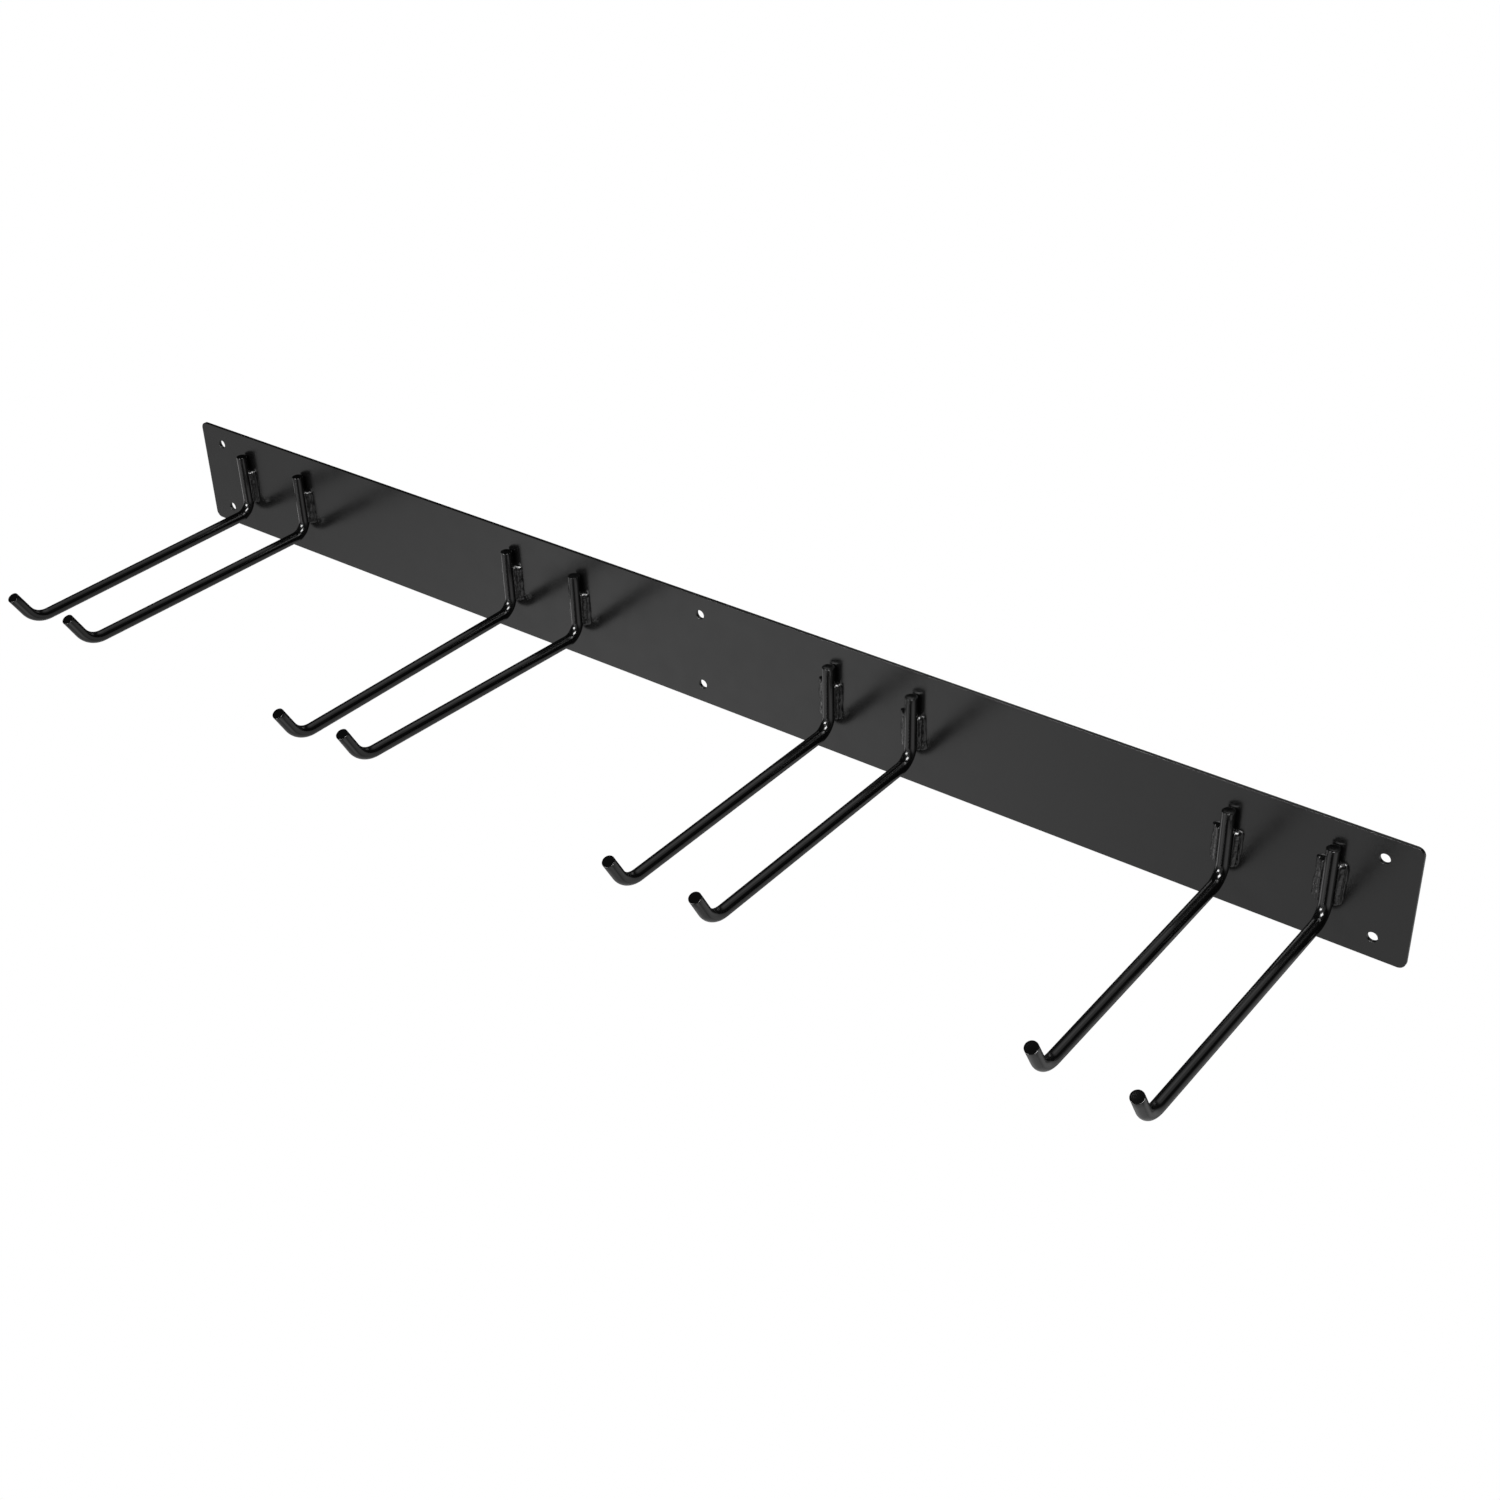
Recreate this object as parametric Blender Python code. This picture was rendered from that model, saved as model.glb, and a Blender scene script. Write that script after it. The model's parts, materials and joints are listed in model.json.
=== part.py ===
"""Wall rack: a steel strip with eight welded round-bar hooks in four pairs.

Every size is in metres, +Z is up. The origin is the middle of the strip's back
(wall) face, +X runs along the strip and the hooks reach out along -Y.
"""
import math

import bmesh
import bpy
from mathutils import Matrix, Vector

# --- driving dimensions -------------------------------------------------------
MM = 0.001
PLATE_L = 1230 * MM          # strip length
PLATE_H = 100 * MM           # strip width (height on the wall)
PLATE_T = 3 * MM             # strip thickness
PLATE_R = 6 * MM             # corner radius
HOLE_D = 8 * MM              # screw holes
HOLE_END = 26 * MM           # hole centre to strip end
HOLE_EDGE = 17 * MM          # hole centre to strip edge
ROD_D = 10 * MM              # round bar
PAIR_PITCH = 344 * MM        # middle of one pair to middle of the next
PAIR_GAP = 78 * MM           # bar centre to bar centre inside a pair
LEG_TOP = 31 * MM            # top end of the upright leg
ELBOW_Z = -26.8 * MM         # corner of leg and arm centre lines
ELBOW_R = 14 * MM            # bend radius of the centre line
REACH = 260 * MM             # wall to the corner of arm and tip
TIP_L = 34 * MM              # that corner to the cut end
TIP_UP = math.radians(61)    # tip above the level
TIP_R = 24 * MM              # bend radius of the centre line
END_CHAMFER = 0.7 * MM       # broken edge of the cut ends
SEAM = 0.3 * MM              # air left between pieces that touch in steel
# how each hook was set in the jig: turned about its leg, tilted from level
HOOK_TURN = (0.2, 0.0, 0.2, -0.8, 0.4, 0.5, 0.9, 0.1)
HOOK_TILT = (-0.8, -0.2, -0.2, 1.3, -0.2, 0.2, 0.3, 0.0)
BEAD_TOP = (18, 18, 19, 16, 17, 15, 15, 19)      # mm, one hook after another
BEAD_FOOT = -17.0 * MM       # lower end of every bead
BEAD_TOE = 6.6 * MM          # bead width on the strip, from the bar's side
BEAD_SWELL = 0.9 * MM        # crown of the bead over a flat fillet
BEAD_LIP = math.radians(-6)  # where the full bead leaves the bar, 90 degrees is at the strip
BEAD_END = 4 * MM            # length of a bead's rounded ends
BEAD_END_SIZE = 0.45         # section of the very end against the full one
SMOOTH_BELOW = math.radians(35)   # edges sharper than this stay sharp
CORNER_STEPS = 8
HOLE_STEPS = 32
ROD_STEPS = 24
BEND_STEPS = 9
BEAD_ARC = 6
BEAD_RINGS = 12

ROD_Y = -(PLATE_T + SEAM + ROD_D / 2)


# --- scene and materials ------------------------------------------------------
def clear_scene():
    for old in list(bpy.data.objects):
        bpy.data.objects.remove(old, do_unlink=True)


def material(name, colour, rough):
    mat = bpy.data.materials.new(name)
    mat.use_nodes = True
    bsdf = mat.node_tree.nodes["Principled BSDF"]
    bsdf.inputs["Base Color"].default_value = (*colour, 1.0)
    bsdf.inputs["Metallic"].default_value = 0.0
    bsdf.inputs["Roughness"].default_value = rough
    return mat


def add_object(name, bm, mat, smooth):
    bmesh.ops.recalc_face_normals(bm, faces=bm.faces[:])
    mesh = bpy.data.meshes.new(name)
    bm.to_mesh(mesh)
    bm.free()
    mesh.materials.append(mat)
    obj = bpy.data.objects.new(name, mesh)
    bpy.context.scene.collection.objects.link(obj)
    if smooth:
        mesh.shade_smooth()
        mesh.set_sharp_from_angle(angle=SMOOTH_BELOW)
    return obj


# --- strip ----------------------------------------------------------------------
def strip_outline():
    half_l, half_h = PLATE_L / 2 - PLATE_R, PLATE_H / 2 - PLATE_R
    points = []
    for quarter, (sx, sz) in enumerate(((1, 1), (-1, 1), (-1, -1), (1, -1))):
        for step in range(CORNER_STEPS + 1):
            a = math.pi / 2 * (quarter + step / CORNER_STEPS)
            points.append((sx * half_l + PLATE_R * math.cos(a),
                           sz * half_h + PLATE_R * math.sin(a)))
    return points


def hole_centres():
    end, edge = PLATE_L / 2 - HOLE_END, PLATE_H / 2 - HOLE_EDGE
    return [(x, z) for x in (-end, 0.0, end) for z in (edge, -edge)]


def make_strip(mat):
    bm = bmesh.new()
    back = [bm.verts.new((x, 0.0, z)) for x, z in strip_outline()]
    face = bm.faces.new(back)
    swept = bmesh.ops.extrude_face_region(bm, geom=[face])
    moved = [v for v in swept["geom"] if isinstance(v, bmesh.types.BMVert)]
    bmesh.ops.translate(bm, verts=moved, vec=(0.0, -PLATE_T, 0.0))
    strip = add_object("back_plate", bm, mat, False)

    bm = bmesh.new()
    for x, z in hole_centres():
        turn = Matrix.Translation((x, -PLATE_T / 2, z)) @ Matrix.Rotation(math.pi / 2, 4, "X")
        bmesh.ops.create_cone(bm, cap_ends=True, segments=HOLE_STEPS, radius1=HOLE_D / 2,
                              radius2=HOLE_D / 2, depth=PLATE_T * 3, matrix=turn)
    cutter = add_object("hole_cutter", bm, mat, False)
    cutter.hide_render = True
    cutter.display_type = "WIRE"
    cut = strip.modifiers.new("holes", "BOOLEAN")
    cut.operation = "DIFFERENCE"
    cut.solver = "EXACT"
    cut.object = cutter
    return strip


# --- hooks ----------------------------------------------------------------------
def bend(before, corner, after, radius):
    """Points of the arc that rounds the corner of two straight runs."""
    u = (before - corner).normalized()
    v = (after - corner).normalized()
    half = u.angle(v) / 2
    centre = corner + (u + v).normalized() * (radius / math.sin(half))
    start = corner + u * (radius / math.tan(half)) - centre
    finish = corner + v * (radius / math.tan(half)) - centre
    sweep = math.pi - 2 * half
    return [centre + (start * math.sin(sweep * (1 - k / BEND_STEPS))
                      + finish * math.sin(sweep * k / BEND_STEPS)) / math.sin(sweep)
            for k in range(BEND_STEPS + 1)]


def hook_line(x, turn, tilt):
    """Centre line of one hook: leg down, elbow, arm out, tip up."""
    tilt = math.radians(tilt)
    arm = Vector((0.0, -math.cos(tilt), math.sin(tilt)))
    tip = Vector((0.0, -math.cos(tilt + TIP_UP), math.sin(tilt + TIP_UP)))
    top = Vector((0.0, 0.0, LEG_TOP))
    elbow = Vector((0.0, 0.0, ELBOW_Z))
    nose = elbow + arm * (REACH + ROD_Y)
    end = nose + tip * TIP_L
    line = [top] + bend(top, elbow, nose, ELBOW_R) + bend(elbow, nose, end, TIP_R) + [end]
    place = Matrix.Translation((x, ROD_Y, 0.0)) @ Matrix.Rotation(math.radians(turn), 4, "Z")
    return [place @ p for p in line], (place.to_3x3() @ Vector((1.0, 0.0, 0.0)))


def ring(bm, centre, side, up, radius):
    return [bm.verts.new(centre + (side * math.cos(a) + up * math.sin(a)) * radius)
            for a in (2 * math.pi * k / ROD_STEPS for k in range(ROD_STEPS))]


def skin(bm, rings):
    for a, b in zip(rings[:-1], rings[1:]):
        n = len(a)
        for k in range(n):
            bm.faces.new((a[k], a[(k + 1) % n], b[(k + 1) % n], b[k]))
    bm.faces.new(rings[0])
    bm.faces.new(rings[-1])


def make_hook(number, x, mat):
    line, side = hook_line(x, HOOK_TURN[number - 1], HOOK_TILT[number - 1])
    bm = bmesh.new()
    rings = []
    last = len(line) - 1
    for k, p in enumerate(line):
        along = (line[min(k + 1, last)] - line[max(k - 1, 0)]).normalized()
        up = side.cross(along)
        if k == 0:
            rings.append(ring(bm, p, side, up, ROD_D / 2 - END_CHAMFER))
            p = p + along * END_CHAMFER
        if k == last:
            rings.append(ring(bm, p - along * END_CHAMFER, side, up, ROD_D / 2))
            rings.append(ring(bm, p, side, up, ROD_D / 2 - END_CHAMFER))
        else:
            rings.append(ring(bm, p, side, up, ROD_D / 2))
    skin(bm, rings)
    return add_object("hook_rod_%d" % number, bm, mat, True)


# --- welds ----------------------------------------------------------------------
def bead_section(side, size):
    """Fillet between bar and strip as (x, y) about the bar centre; size 0..1."""
    r = ROD_D / 2 + SEAM
    strip_y = ROD_D / 2                   # SEAM short of the strip's front face
    high = math.asin(strip_y / r)
    low = high + (BEAD_LIP - high) * size
    toe = Vector((r * math.cos(high), strip_y))
    toe.x += (ROD_D / 2 + BEAD_TOE - toe.x) * size
    lip = Vector((r * math.cos(low), r * math.sin(low)))
    points = [Vector((r * math.cos(a), r * math.sin(a)))
              for a in (low + (high - low) * k / BEAD_ARC for k in range(BEAD_ARC + 1))]
    out = Vector((toe.y - lip.y, lip.x - toe.x)).normalized()
    for k in range(BEAD_ARC + 1):
        t = 1 - k / BEAD_ARC
        points.append(lip.lerp(toe, t) + out * (BEAD_SWELL * size * math.sin(math.pi * t)))
    points.pop()
    return [Vector((side * p.x, p.y)) for p in points]


def make_bead(name, x, side, top, mat):
    bm = bmesh.new()
    rings = []
    for k in range(BEAD_RINGS + 1):
        t = k / BEAD_RINGS
        z = top + (BEAD_FOOT - top) * t
        off = min(1.0, min(z - BEAD_FOOT, top - z) / BEAD_END)
        size = BEAD_END_SIZE + (1 - BEAD_END_SIZE) * math.sqrt(max(0.0, 1 - (1 - off) ** 2))
        rings.append([bm.verts.new((x + p.x, ROD_Y + p.y, z)) for p in bead_section(side, size)])
    skin(bm, rings)
    return add_object(name, bm, mat, True)


# --- assembly -------------------------------------------------------------------
def main():
    clear_scene()
    strip_mat = material("powder_coat_strip", (0.035, 0.035, 0.036), 0.48)
    rod_mat = material("powder_coat_rod", (0.022, 0.022, 0.023), 0.32)
    bead_mat = material("powder_coat_weld", (0.028, 0.028, 0.029), 0.38)
    make_strip(strip_mat)
    number = 0
    for pair in range(4):
        for half in (-1, 1):
            number += 1
            x = (pair - 1.5) * PAIR_PITCH + half * PAIR_GAP / 2
            make_hook(number, x, rod_mat)
            top = BEAD_TOP[number - 1] * MM
            make_bead("weld_bead_%d_left" % number, x, -1, top, bead_mat)
            make_bead("weld_bead_%d_right" % number, x, 1, top, bead_mat)


main()
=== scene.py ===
"""Looks of the wall rack: satin black powder coat over a flat strip, bent bar and weld beads.

Everything is in metres in the frame of the CAD model: +X along the strip, the hooks reach
out along -Y, +Z is up, and the wall is the plane y = 0.
"""
import json
import math

import bmesh
import bpy
from mathutils import Matrix, Vector, noise


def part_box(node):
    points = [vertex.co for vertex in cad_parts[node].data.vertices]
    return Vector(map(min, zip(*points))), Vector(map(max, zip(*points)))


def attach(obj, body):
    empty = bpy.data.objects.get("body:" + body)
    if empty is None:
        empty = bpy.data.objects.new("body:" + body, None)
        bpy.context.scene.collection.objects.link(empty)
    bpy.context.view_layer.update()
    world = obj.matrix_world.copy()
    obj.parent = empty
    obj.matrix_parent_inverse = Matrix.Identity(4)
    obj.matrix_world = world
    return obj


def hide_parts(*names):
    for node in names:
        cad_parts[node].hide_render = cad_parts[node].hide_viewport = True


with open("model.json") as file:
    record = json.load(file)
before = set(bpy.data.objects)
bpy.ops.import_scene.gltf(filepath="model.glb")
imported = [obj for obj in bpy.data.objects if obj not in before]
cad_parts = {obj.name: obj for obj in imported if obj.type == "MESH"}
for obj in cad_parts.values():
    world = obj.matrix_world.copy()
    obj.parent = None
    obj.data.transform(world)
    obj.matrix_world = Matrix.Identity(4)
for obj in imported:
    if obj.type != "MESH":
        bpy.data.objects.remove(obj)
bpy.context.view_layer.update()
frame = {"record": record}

MM = 0.001

# --- sizes read from the frame ----------------------------------------------------
STRIP_LOW, STRIP_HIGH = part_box("back_plate")
FACE_Y = STRIP_LOW.y                         # front face of the strip
HOOKS = range(1, 9)                          # numbered along +X
OPENINGS = frame["record"]["physics"]["openings"]


def middle(low, high):
    return (Vector(low) + Vector(high)) / 2


def hole_centres():
    """Middle of each screw hole, from the boxes that the record keeps open."""
    return [middle(*o["box_m"]) for o in OPENINGS if o["name"].startswith("screw_hole")]


def leg_x(number):
    """A hook's leg stands midway between its two beads."""
    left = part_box("weld_bead_%d_left" % number)[0].x
    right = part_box("weld_bead_%d_right" % number)[1].x
    return (left + right) / 2


# --- sizes shared with the CAD model ----------------------------------------------
PLATE_R = 6 * MM             # corner radius of the strip
HOLE_D = 8 * MM
ROD_R = 5 * MM
SEAM = 0.3 * MM              # air that the CAD model leaves between pieces
LEG_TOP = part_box("hook_rod_1")[1].z
ELBOW_Z = -26.8 * MM
ELBOW_R = 14 * MM
REACH = 260 * MM
TIP_L = 34 * MM
TIP_UP = math.radians(61)
TIP_R = 24 * MM
HOOK_TURN = (0.2, 0.0, 0.2, -0.8, 0.4, 0.5, 0.9, 0.1)
HOOK_TILT = (-0.8, -0.2, -0.2, 1.3, -0.2, 0.2, 0.3, 0.0)
ROD_Y = FACE_Y - SEAM - ROD_R

# --- fine shapes ------------------------------------------------------------------
EDGE_R = 0.2 * MM            # rounded edge of the coated strip
HOLE_EDGE_R = 0.2 * MM
EDGE_STEPS = 5
CORNER_STEPS = 14
HOLE_STEPS = 64
ROD_STEPS = 48
BEND_STEPS = 26
RUN_STEP = 6 * MM            # ring spacing on straight bar
CUT_EDGE = 0.35 * MM         # rounded edge of a sheared end
CUT_DISH = 0.25 * MM         # hollow of a sheared end
CUT_RINGS = (0.74, 0.6, 0.45, 0.3, 0.15)     # rings across the hollow, shares of the bar's radius
CUT_RIM = 0.85               # share of the bar's radius where the hollow starts
CUT_UNEVEN = 0.05 * MM       # how far the rim of a sheared end strays from round
FLATTEN = 0.03               # how far the bar goes oval in the elbow
TIP_FLATTEN = 0.7            # the wider tip bend against the elbow
WRINKLE = (0.16, 0.18, 0.16, 0.18, 0.02, 0.02, 0.03, 0.02)   # mm, inside each elbow
WRINKLE_WAVES = 3.2          # wrinkles along an elbow
WRINKLE_NARROW = 3           # power that keeps them to the inside of the bend
WRINKLE_SLANT = 0.9          # radians of a wave from the inside line to the bar's side
BEAD_RINGS = 84
BEAD_ACROSS = 28
BEAD_PITCH = 2.3 * MM        # one ripple of the weld
BEAD_SWELL = 1.1 * MM        # crown of a bead over a flat fillet
BEAD_FULLNESS = 0.6          # power of the crown's half wave; below 1 its shoulders are full
BEAD_RIPPLE = 0.12 * MM
RIPPLE_MEAN = 0.6            # about the mean of a ripple's arches, taken off again
RIPPLE_LAG = 0.9             # ripples by which the ends of one lie above its middle
BEAD_LUMP = 0.5 * MM
FINE_LUMP = 0.4              # small lumps against large ones
BEAD_NOTCH = 1.1 * MM        # undercut where the bead leaves the bar
NOTCH_AT, NOTCH_WIDTH = 0.07, 0.06           # shares of the way across a bead
SEAM_WIDTH = 0.075                           # likewise
BEAD_LIP = (60, -6)          # degrees round the bar where a bead leaves it: at its ends, in full
BEAD_TIP_SIZE = 0.12         # section of a bead's very end against the full one
STRIP_ROOT = 0.6             # bead's corner inside the strip, across, in radii of the bar
BAR_ROOT = (0.45, 0.75)      # bead's corner inside the bar, across and towards the wall
TOE_WANDER = 0.12            # share by which a bead's width wanders
SEAM_WANDER = 0.08           # share of the way across by which a seam wanders
RIPPLE_WANDER = 0.5          # ripples
# waves of noise per metre of bead
TOE_WAVES, SEAM_WAVES, RIPPLE_WAVES, LUMP_WAVES, FINE_LUMP_WAVES = 170, 260, 300, 130, 420
BEAD_END = {"left": 2.0 * MM, "right": 3.6 * MM}      # length of a bead's rounded ends
# width of each bead on the strip from the bar's side, top and foot, mm
TOES = {
    "left": ((7.0, 7.0), (7.0, 7.0), (7.0, 7.0), (7.0, 7.0),
             (8.0, 7.8), (7.8, 7.8), (8.0, 8.0), (7.4, 8.6)),
    "right": ((5.4, 5.2), (6.6, 6.4), (6.6, 6.4), (6.4, 6.4),
              (5.0, 5.2), (4.8, 7.2), (6.6, 5.0), (6.4, 5.2)),
}
# seam between a bead's two passes: share across at top and foot, depth in mm
SEAMS = {
    "left": ((0.6, 0.6, 0.5), (0.6, 0.6, 0.5), (0.5, 0.6, 0.5), (0.6, 0.5, 0.4),
             (0.5, 0.6, 0.7), (0.6, 0.6, 0.7), (0.5, 0.6, 0.6), (0.6, 0.5, 0.9)),
    "right": ((0.75, 0.7, 0.5), (0.8, 0.7, 0.4), (0.5, 0.5, 0.8), (0.6, 0.6, 0.3),
              (0.68, 0.62, 1.0), (0.72, 0.5, 1.1), (0.72, 0.62, 1.3), (0.7, 0.6, 0.9)),
}
SINK = 0.35 * MM             # how deep a bead runs into bar and strip
# drops of weld metal beside a hook: across from the bar's centre, height, radius, mm
SPATTER = {1: ((11.6, 2.0, 0.7),)}
SPATTER_FLAT = 0.7           # height of a drop against a half ball
# powder coats: tone, roughness, height of the orange peel in mm, peel scale
COATS = {
    "strip_coat": (0.001, 0.23, 0.012, 1200.0),
    "rod_coat": (0.0006, 0.18, 0.010, 700.0),
    "weld_coat": (0.001, 0.22, 0.012, 700.0),
}
ROUGH_DRIFT = 0.03           # how far the roughness strays from its middle
TONE_DRIFT = 0.2             # share by which the tone strays
BLUE_LIFT = 0.02             # the black is a touch blue
# noise textures: scale and detail
GLOSS_CLOUD = (45.0, 3.0)
TONE_CLOUD = (260.0, 4.0)
PEEL_DETAIL = 1.0
CLOUD_RANGE = (0.3, 0.7)     # where nearly all values of a noise texture lie


# --- mesh helpers -----------------------------------------------------------------
def add_piece(name, bm, mat, smooth_below=None):
    bmesh.ops.recalc_face_normals(bm, faces=bm.faces[:])
    mesh = bpy.data.meshes.new(name)
    bm.to_mesh(mesh)
    bm.free()
    mesh.materials.append(mat)
    mesh.shade_smooth()
    if smooth_below is not None:
        mesh.set_sharp_from_angle(angle=math.radians(smooth_below))
    piece = bpy.data.objects.new(name, mesh)
    bpy.context.scene.collection.objects.link(piece)
    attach(piece, "root")
    return piece


def bridge(bm, a, b):
    """A closed band of quads between two loops of equal length."""
    n = len(a)
    for k in range(n):
        bm.faces.new((a[k], a[(k + 1) % n], b[(k + 1) % n], b[k]))


# --- strip ------------------------------------------------------------------------
def rounded_edge(radius):
    """(inset, y) from the wall face round both edges to the front face."""
    arc = [math.pi / 2 * k / EDGE_STEPS for k in range(EDGE_STEPS + 1)]
    back = [(radius * (1 - math.sin(a)), STRIP_HIGH.y - radius * (1 - math.cos(a))) for a in arc]
    front = [(inset, STRIP_LOW.y + (STRIP_HIGH.y - y)) for inset, y in reversed(back)]
    return back + front


def strip_loop(inset):
    """The strip's outline moved inwards."""
    centre = middle(STRIP_LOW, STRIP_HIGH)
    half_l = (STRIP_HIGH.x - STRIP_LOW.x) / 2 - PLATE_R
    half_h = (STRIP_HIGH.z - STRIP_LOW.z) / 2 - PLATE_R
    points = []
    for quarter, (sx, sz) in enumerate(((1, 1), (-1, 1), (-1, -1), (1, -1))):
        for step in range(CORNER_STEPS + 1):
            a = math.pi / 2 * (quarter + step / CORNER_STEPS)
            points.append((centre.x + sx * half_l + (PLATE_R - inset) * math.cos(a),
                           centre.z + sz * half_h + (PLATE_R - inset) * math.sin(a)))
    return points


def hole_loop(centre, inset):
    """A screw hole's circle, wider by the inset."""
    radius = HOLE_D / 2 + inset
    turns = [2 * math.pi * k / HOLE_STEPS for k in range(HOLE_STEPS)]
    return [(centre.x + radius * math.cos(a), centre.z + radius * math.sin(a)) for a in turns]


def make_strip(mat):
    bm = bmesh.new()
    rims = {"back": [], "front": []}

    def wall(loop_at, radius):
        """Edge of one outline from back to front; its two rims bound the flat faces."""
        loops = [[bm.verts.new((x, y, z)) for x, z in loop_at(inset)]
                 for inset, y in rounded_edge(radius)]
        for a, b in zip(loops[:-1], loops[1:]):
            bridge(bm, a, b)
        for side, loop in (("back", loops[0]), ("front", loops[-1])):
            rims[side] += [bm.edges.get((loop[k - 1], loop[k])) for k in range(len(loop))]

    wall(strip_loop, EDGE_R)
    for centre in hole_centres():
        wall(lambda inset, c=centre: hole_loop(c, inset), HOLE_EDGE_R)
    for side in ("back", "front"):
        bmesh.ops.triangle_fill(bm, use_beauty=True, use_dissolve=False, edges=rims[side],
                                normal=(0, 1 if side == "back" else -1, 0))
    strip = add_piece("strip", bm, mat)
    weighted = strip.modifiers.new("flat_faces", "WEIGHTED_NORMAL")
    weighted.keep_sharp = True
    weighted.weight = 100
    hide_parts("back_plate")


# --- hooks ------------------------------------------------------------------------
def bend(before, corner, after, radius):
    """Points of the arc that rounds the corner of two straight runs."""
    u = (before - corner).normalized()
    v = (after - corner).normalized()
    half = u.angle(v) / 2
    centre = corner + (u + v).normalized() * (radius / math.sin(half))
    start = corner + u * (radius / math.tan(half)) - centre
    finish = corner + v * (radius / math.tan(half)) - centre
    sweep = math.pi - 2 * half
    return [centre + (start * math.sin(sweep * (1 - k / BEND_STEPS))
                      + finish * math.sin(sweep * k / BEND_STEPS)) / math.sin(sweep)
            for k in range(BEND_STEPS + 1)]


def run(start, end):
    """Points between two ends of a straight stretch, ends left out."""
    count = max(1, round((end - start).length / RUN_STEP))
    return [start.lerp(end, k / count) for k in range(1, count)]


def hook_line(number):
    """Centre line as (point, elbow share or None, bend share), and the hook's side axis."""
    tilt = math.radians(HOOK_TILT[number - 1])
    arm = Vector((0.0, -math.cos(tilt), math.sin(tilt)))
    tip = Vector((0.0, -math.cos(tilt + TIP_UP), math.sin(tilt + TIP_UP)))
    top = Vector((0.0, 0.0, LEG_TOP))
    elbow = Vector((0.0, 0.0, ELBOW_Z))
    nose = elbow + arm * (REACH + ROD_Y)
    end = nose + tip * TIP_L
    first, second = bend(top, elbow, nose, ELBOW_R), bend(elbow, nose, end, TIP_R)
    shares = [k / BEND_STEPS for k in range(BEND_STEPS + 1)]
    line = [(top, None, 0.0)]
    line += [(p, None, 0.0) for p in run(top, first[0])]
    line += [(p, t, math.sin(math.pi * t)) for p, t in zip(first, shares)]
    line += [(p, None, 0.0) for p in run(first[-1], second[0])]
    line += [(p, None, TIP_FLATTEN * math.sin(math.pi * t)) for p, t in zip(second, shares)]
    line += [(p, None, 0.0) for p in run(second[-1], end)]
    line += [(end, None, 0.0)]
    turn = Matrix.Rotation(math.radians(HOOK_TURN[number - 1]), 4, "Z")
    place = Matrix.Translation((leg_x(number), ROD_Y, 0.0)) @ turn
    side = place.to_3x3() @ Vector((1.0, 0.0, 0.0))
    return [(place @ p, share, bent) for p, share, bent in line], side


def wrinkle(number, share, angle):
    """Height of the press wrinkles inside an elbow, seen at an angle round the bar."""
    if share is None:
        return 0.0
    inside = max(0.0, math.sin(angle)) ** WRINKLE_NARROW
    phase = 2 * math.pi * (WRINKLE_WAVES * share + 0.15 * number)    # each hook its own start
    waves = math.cos(phase + WRINKLE_SLANT * math.cos(angle))
    return WRINKLE[number - 1] * MM * inside * waves * math.sin(math.pi * share)


def cut_end():
    """(depth below the cut, radius) from the bar's side in to the middle of a sheared end."""
    arc = [math.pi / 2 * k / EDGE_STEPS for k in range(EDGE_STEPS + 1)]
    profile = [(CUT_EDGE * (1 - math.sin(a)), ROD_R - CUT_EDGE * (1 - math.cos(a))) for a in arc]
    profile += [(CUT_DISH * (1 - (share / CUT_RIM) ** 2), ROD_R * share) for share in CUT_RINGS]
    return profile


def make_hook(number, mat):
    """Bent bar: rings along the centre line, closed at both sheared ends."""
    line, side = hook_line(number)
    bm = bmesh.new()
    rings = []
    last = len(line) - 1

    def ring(centre, along, radius_at):
        up = side.cross(along)
        turns = [2 * math.pi * k / ROD_STEPS for k in range(ROD_STEPS)]
        return [bm.verts.new(centre + (side * math.cos(a) + up * math.sin(a)) * radius_at(a))
                for a in turns]

    def uneven(a, seed):
        return CUT_UNEVEN * noise.noise(Vector((2 * math.cos(a), 2 * math.sin(a), seed)))

    def cap(centre, outwards, along):
        """Rings of a sheared end, from the side inwards."""
        made = []
        for k, (depth, radius) in enumerate(cut_end()):
            seed = number * 3.7 + k * 0.4 + outwards.z       # near rings stray alike
            made.append(ring(centre - outwards * depth, along,
                             lambda a, r=radius, w=seed: r + uneven(a, w)))
        return made

    for k, (p, share, bent) in enumerate(line):
        along = (line[min(k + 1, last)][0] - line[max(k - 1, 0)][0]).normalized()
        if k == 0:
            rings += reversed(cap(p, -along, along))
        elif k == last:
            rings += cap(p, along, along)
        else:
            rings.append(ring(p, along, lambda a: ROD_R * (1 - FLATTEN * bent * math.sin(a) ** 2)
                              + wrinkle(number, share, a)))
    for a, b in zip(rings[:-1], rings[1:]):
        bridge(bm, a, b)
    for loop in (rings[0], rings[-1]):
        hub = bm.verts.new(sum((v.co for v in loop), Vector()) / len(loop))
        for k in range(len(loop)):
            bm.faces.new((loop[k - 1], loop[k], hub))
    hook = add_piece("hook_%d" % number, bm, mat)
    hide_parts("hook_rod_%d" % number)


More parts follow.
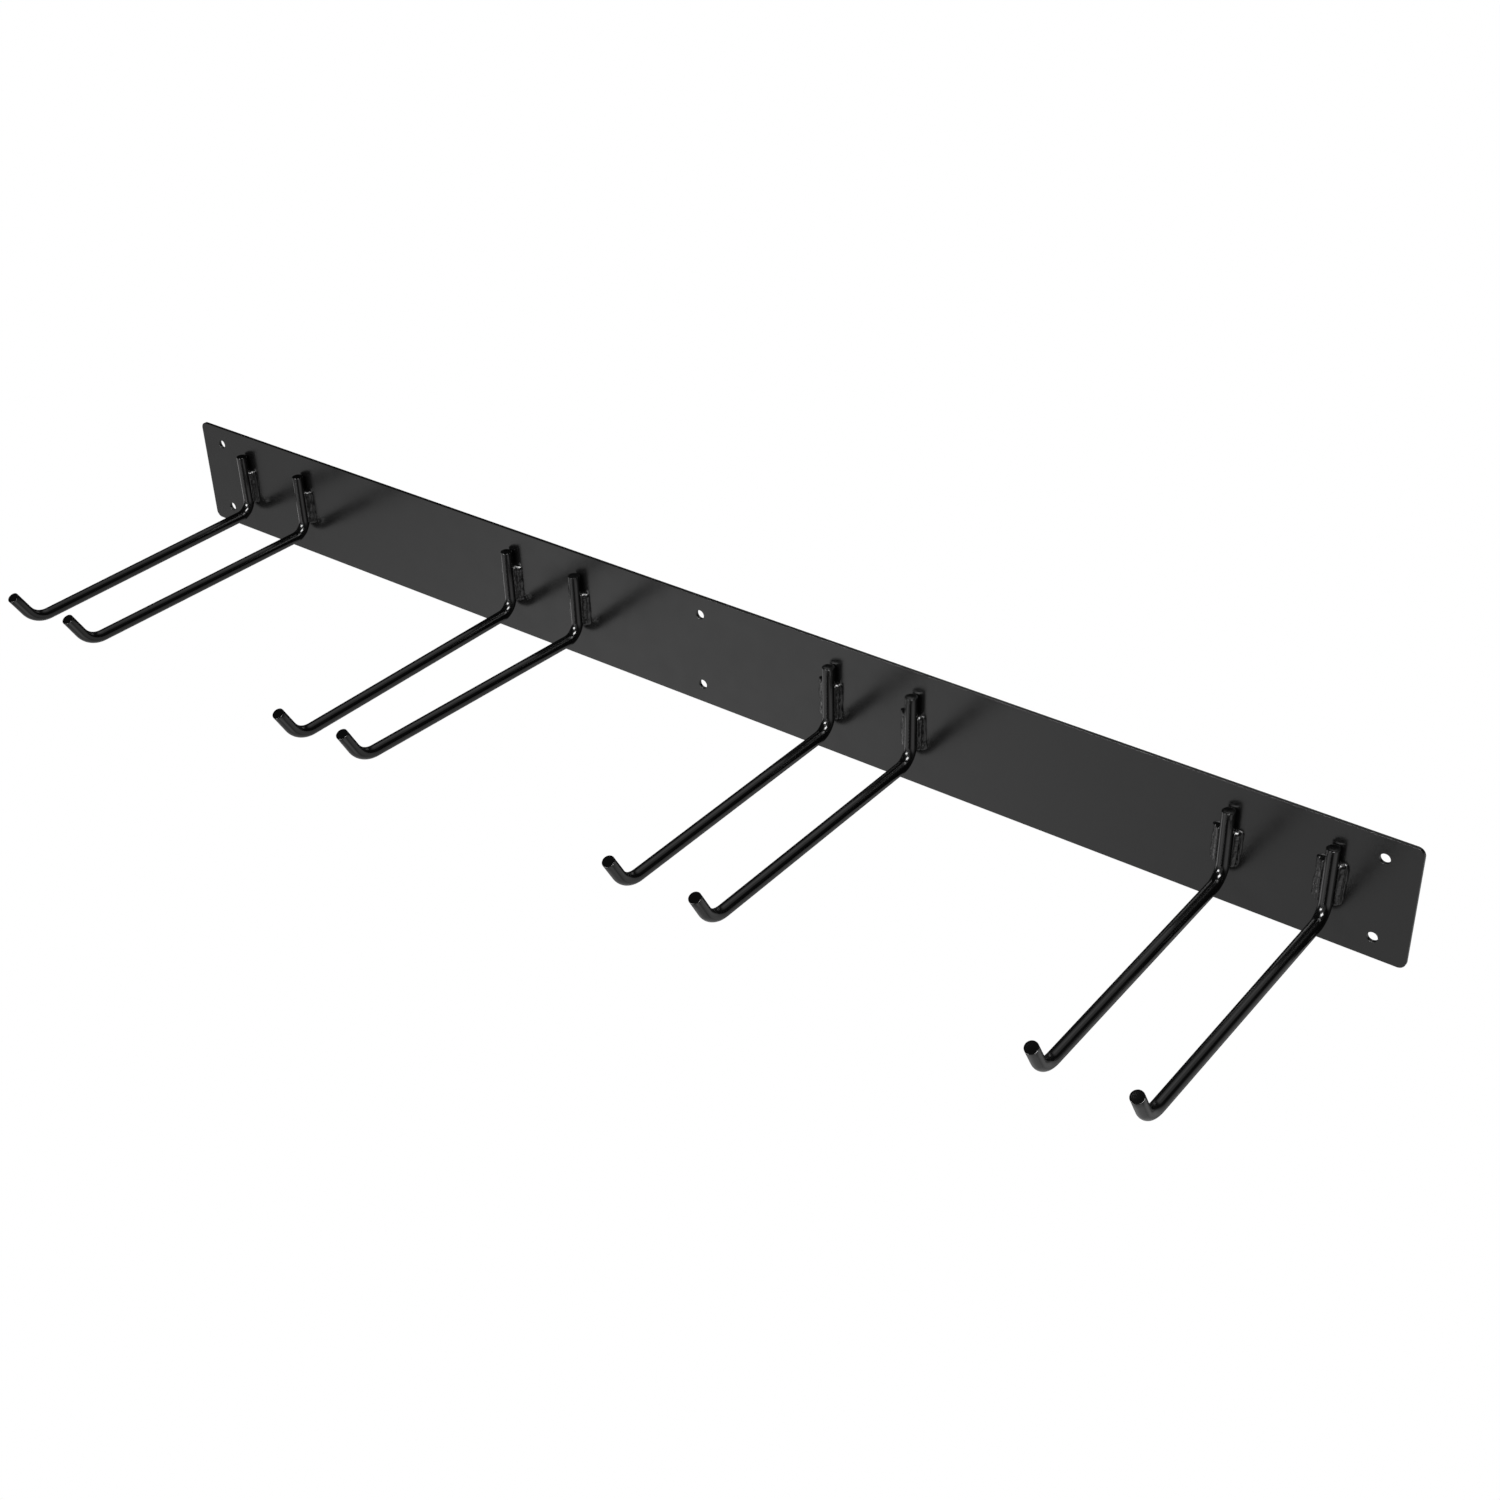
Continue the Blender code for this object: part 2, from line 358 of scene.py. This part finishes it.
# --- welds ------------------------------------------------------------------------
def bead_section(side, size, toe, crown):
    """Fillet between bar and strip as (x, y) points about the bar's centre."""
    strip_y = -ROD_Y + FACE_Y                # strip's face from the bar's centre
    low = math.radians(BEAD_LIP[0] + (BEAD_LIP[1] - BEAD_LIP[0]) * size)
    lip = Vector(((ROD_R - SINK) * math.cos(low), (ROD_R - SINK) * math.sin(low)))
    foot = Vector((lip.x + (ROD_R + toe - lip.x) * size, strip_y + SINK / 2))
    out = Vector((foot.y - lip.y, lip.x - foot.x)).normalized()
    points = []
    for k in range(BEAD_ACROSS + 1):
        t = k / BEAD_ACROSS
        p = lip.lerp(foot, t) + out * crown(t)
        points.append((side * p.x, p.y))
    points.append((side * (ROD_R * STRIP_ROOT), strip_y + SINK))
    points.append((side * (ROD_R * BAR_ROOT[0]), ROD_R * BAR_ROOT[1]))
    return points


def dip(t, at, width):
    """A smooth hollow, 1 deep, at a share of the way across."""
    return math.exp(-((t - at) / width) ** 2)


def make_bead(number, hand, mat):
    """One weld bead: cross sections from its top down to its foot."""
    node = "weld_bead_%d_%s" % (number, hand)
    side = 1 if hand == "right" else -1
    low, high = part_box(node)
    x = leg_x(number)
    seed = number * 5.3 + side * 1.9         # each bead's own place in the noise
    toe_top, toe_foot = TOES[hand][number - 1]
    seam_top, seam_foot, seam_depth = SEAMS[hand][number - 1]
    bm = bmesh.new()
    rings = []
    for k in range(BEAD_RINGS + 1):
        down = k / BEAD_RINGS
        z = high.z + (low.z - high.z) * down
        off = min(z - low.z, high.z - z) / BEAD_END[hand]
        size = math.sqrt(max(0.0, 1 - (1 - min(off, 1.0)) ** 2))
        size = BEAD_TIP_SIZE + (1 - BEAD_TIP_SIZE) * size
        toe = (toe_top + (toe_foot - toe_top) * down) * MM
        toe *= 1 + TOE_WANDER * noise.noise(Vector((z * TOE_WAVES, seed, 0.0)))
        seam_at = seam_top + (seam_foot - seam_top) * down
        seam_at += SEAM_WANDER * noise.noise(Vector((z * SEAM_WAVES, seed, 3.0)))

        def crown(t, z=z, size=size, seam_at=seam_at):
            phase = (high.z - z) / BEAD_PITCH + RIPPLE_LAG * (2 * t - 1) ** 2
            phase += RIPPLE_WANDER * noise.noise(Vector((z * RIPPLE_WAVES, t * 2, seed)))
            scallop = abs(math.sin(math.pi * phase)) - RIPPLE_MEAN
            lump = noise.noise(Vector((z * LUMP_WAVES, t * 3.2, seed + 7)))
            fine = noise.noise(Vector((z * FINE_LUMP_WAVES, t * 5.0, seed + 9)))
            lump += FINE_LUMP * fine
            hill = math.sin(math.pi * t) ** BEAD_FULLNESS
            height = hill * (BEAD_SWELL + BEAD_RIPPLE * scallop + BEAD_LUMP * lump)
            height -= hill * seam_depth * MM * dip(t, seam_at, SEAM_WIDTH)
            return size * (height - BEAD_NOTCH * dip(t, NOTCH_AT, NOTCH_WIDTH))

        rings.append([bm.verts.new((x + px, ROD_Y + py, z))
                      for px, py in bead_section(side, size, toe, crown)])
    for a, b in zip(rings[:-1], rings[1:]):
        bridge(bm, a, b)
    for loop in (rings[0], rings[-1]):
        bm.faces.new(loop)
    bead = add_piece("weld_%d_%s" % (number, hand), bm, mat, smooth_below=60)
    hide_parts(node)


def make_spatter(number, mat):
    """Small drops of weld metal that stuck to the strip beside a hook."""
    bm = bmesh.new()
    for across, height, radius in SPATTER[number]:
        spot = Vector((leg_x(number) + across * MM, FACE_Y, height * MM))
        made = bmesh.ops.create_icosphere(bm, subdivisions=3, radius=radius * MM,
                                          matrix=Matrix.Translation(spot))
        for v in made["verts"]:
            v.co.y = FACE_Y + (v.co.y - FACE_Y) * SPATTER_FLAT
    add_piece("weld_spatter_%d" % number, bm, mat)


# --- materials --------------------------------------------------------------------
def powder_coat(name, tone, rough, peel, peel_scale):
    """Satin black powder coat: tone and gloss drift a little, over a fine orange peel."""
    mat = bpy.data.materials.new(name)
    mat.use_nodes = True
    nodes, links = mat.node_tree.nodes, mat.node_tree.links
    bsdf = nodes["Principled BSDF"]
    bsdf.inputs["Metallic"].default_value = 0.0
    coord = nodes.new("ShaderNodeTexCoord")

    def cloud(scale, detail):
        tex = nodes.new("ShaderNodeTexNoise")
        tex.inputs["Scale"].default_value = scale
        tex.inputs["Detail"].default_value = detail
        links.new(coord.outputs["Object"], tex.inputs["Vector"])
        return tex.outputs["Fac"]

    drift = nodes.new("ShaderNodeMapRange")
    drift.inputs["From Min"].default_value = CLOUD_RANGE[0]
    drift.inputs["From Max"].default_value = CLOUD_RANGE[1]
    drift.inputs["To Min"].default_value = rough - ROUGH_DRIFT
    drift.inputs["To Max"].default_value = rough + ROUGH_DRIFT
    links.new(cloud(*GLOSS_CLOUD), drift.inputs["Value"])
    links.new(drift.outputs["Result"], bsdf.inputs["Roughness"])

    tint = nodes.new("ShaderNodeMix")
    tint.data_type = "RGBA"
    for socket, share in (("A", 1 - TONE_DRIFT), ("B", 1 + TONE_DRIFT)):
        shade = (tone * share, tone * share, tone * (share + BLUE_LIFT), 1.0)
        tint.inputs[socket].default_value = shade
    links.new(cloud(*TONE_CLOUD), tint.inputs["Factor"])
    links.new(tint.outputs["Result"], bsdf.inputs["Base Color"])

    grain = nodes.new("ShaderNodeBump")
    grain.inputs["Distance"].default_value = peel * MM
    links.new(cloud(peel_scale, PEEL_DETAIL), grain.inputs["Height"])
    links.new(grain.outputs["Normal"], bsdf.inputs["Normal"])
    return mat


# --- stage, light and camera ------------------------------------------------------
CAMERA_AT = Vector((0.9780, -1.1686, 0.8759))
CAMERA_LENS, CAMERA_SENSOR = 51.063, 36.0    # mm
CAMERA_AZ, CAMERA_EL, CAMERA_ROLL = 38.592, 32.672, -1.843
FLOOR_Z = -1.1
STAGE_R = 30.0
STAGE_STEPS = 96
AIR_GLOW = 0.03              # what the unlit room gives off; the white paper is 1
FLOOR_GLOW = 0.5             # the floor straight below
FLOOR_FADE = (0.6, 0.95)     # sine of the depression where the floor starts and is full
PATCHES = (                  # azimuth, elevation, full within, gone beyond, level
    (-54, -29, 10, 27, 0.42),     # lit table, front left
    (-26, -33, 10, 27, 0.68),     # lit table, front
    (0, 8, 22, 46, 0.45),         # pale wall behind the camera
    (-98, -28, 9, 25, 1.3),       # lit table, far left
    (70, -38, 12, 34, 0.75),      # lit table, right
    (138, -22, 15, 36, 0.5),      # lit table, back right
    (172, 52, 12, 26, 0.45),      # pale ceiling behind the wall
    (-152, 47, 9, 22, 0.5),       # pale ceiling, back left
)
LAMPS = {                    # azimuth, elevation, distance, width, height, radiance
    "key_softbox": (50, 50, 2.2, 0.8, 1.1, 26.0),
    "side_softbox": (-15, 18, 2.2, 1.2, 0.6, 27.0),
}


def direction(azimuth, elevation):
    """Unit vector; azimuth 0 is straight out from the wall, 90 is along +X."""
    a, e = math.radians(azimuth), math.radians(elevation)
    return Vector((math.sin(a) * math.cos(e), -math.cos(a) * math.cos(e), math.sin(e)))


def make_camera():
    back = direction(CAMERA_AZ, CAMERA_EL)
    level = direction(CAMERA_AZ + 90, 0)
    upright = back.cross(level)
    roll = math.radians(CAMERA_ROLL)
    right = level * math.cos(roll) + upright * math.sin(roll)
    up = upright * math.cos(roll) - level * math.sin(roll)
    data = bpy.data.cameras.new("camera")
    data.sensor_width = CAMERA_SENSOR
    data.lens = CAMERA_LENS
    data.clip_start = 0.01
    camera = bpy.data.objects.new("camera", data)
    turn = Matrix((right, up, back)).transposed().to_4x4()
    camera.matrix_world = Matrix.Translation(CAMERA_AT) @ turn
    bpy.context.scene.collection.objects.link(camera)
    bpy.context.scene.camera = camera


def make_stage():
    """A white floor that turns up into a white backdrop, all round."""
    mat = bpy.data.materials.new("white_paper")
    mat.use_nodes = True
    nodes, links = mat.node_tree.nodes, mat.node_tree.links
    nodes.clear()
    paper = nodes.new("ShaderNodeEmission")
    paper.inputs["Color"].default_value = (1.0, 1.0, 1.0, 1.0)
    paper.inputs["Strength"].default_value = 1.0
    out = nodes.new("ShaderNodeOutputMaterial")
    links.new(paper.outputs["Emission"], out.inputs["Surface"])
    bm = bmesh.new()
    bmesh.ops.create_circle(bm, cap_ends=True, segments=STAGE_STEPS, radius=STAGE_R)
    rim = [e for e in bm.edges if e.is_boundary]
    wall = bmesh.ops.extrude_edge_only(bm, edges=rim)
    raised = [v for v in wall["geom"] if isinstance(v, bmesh.types.BMVert)]
    bmesh.ops.translate(bm, verts=raised, vec=(0, 0, STAGE_R))
    mesh = bpy.data.meshes.new("stage")
    bm.to_mesh(mesh)
    bm.free()
    mesh.materials.append(mat)
    stage = bpy.data.objects.new("stage", mesh)
    stage.location.z = FLOOR_Z
    stage.visible_glossy = False
    stage.visible_diffuse = False
    stage.visible_shadow = False
    bpy.context.scene.collection.objects.link(stage)


def softbox(name, azimuth, elevation, distance, width, height, radiance):
    """Area lamp that faces the origin."""
    data = bpy.data.lights.new(name, "AREA")
    data.shape = "RECTANGLE"
    data.size, data.size_y = width, height
    data.energy = radiance * math.pi * width * height
    lamp = bpy.data.objects.new(name, data)
    towards = direction(azimuth, elevation)
    lamp.location = towards * distance
    lamp.rotation_mode = "QUATERNION"
    lamp.rotation_quaternion = towards.to_track_quat("Z", "Y")
    lamp.visible_camera = False
    bpy.context.scene.collection.objects.link(lamp)


def make_room():
    """Dim studio over a pale floor, with glowing patches."""
    world = bpy.data.worlds.new("studio")
    bpy.context.scene.world = world
    world.use_nodes = True
    nodes, links = world.node_tree.nodes, world.node_tree.links
    ray = nodes.new("ShaderNodeTexCoord").outputs["Generated"]

    def glow(axis, start, full, level):
        """Light that fades in as a ray turns towards an axis; start and full are cosines."""
        dot = nodes.new("ShaderNodeVectorMath")
        dot.operation = "DOT_PRODUCT"
        dot.inputs[1].default_value = axis
        links.new(ray, dot.inputs[0])
        fade = nodes.new("ShaderNodeMapRange")
        fade.interpolation_type = "SMOOTHSTEP"
        fade.inputs["From Min"].default_value = start
        fade.inputs["From Max"].default_value = full
        fade.inputs["To Max"].default_value = level
        links.new(dot.outputs["Value"], fade.inputs["Value"])
        return fade

    total = glow((0.0, 0.0, -1.0), FLOOR_FADE[0], FLOOR_FADE[1], FLOOR_GLOW)
    total.inputs["To Min"].default_value = AIR_GLOW
    for azimuth, elevation, full, gone, level in PATCHES:
        patch = glow(direction(azimuth, elevation), math.cos(math.radians(gone)),
                     math.cos(math.radians(full)), level)
        both = nodes.new("ShaderNodeMath")
        both.operation = "ADD"
        links.new(total.outputs[0], both.inputs[0])
        links.new(patch.outputs[0], both.inputs[1])
        total = both
    nodes["Background"].inputs["Color"].default_value = (1.0, 1.0, 1.0, 1.0)
    links.new(total.outputs[0], nodes["Background"].inputs["Strength"])


# --- assembly ---------------------------------------------------------------------
def main():
    bpy.context.scene.view_settings.view_transform = "Standard"
    make_camera()
    make_stage()
    make_room()
    for name, lamp in LAMPS.items():
        softbox(name, *lamp)
    strip_coat, rod_coat, weld_coat = (powder_coat(name, *coat) for name, coat in COATS.items())
    make_strip(strip_coat)
    for number in HOOKS:
        make_hook(number, rod_coat)
        make_bead(number, "left", weld_coat)
        make_bead(number, "right", weld_coat)
        if number in SPATTER:
            make_spatter(number, weld_coat)


main()
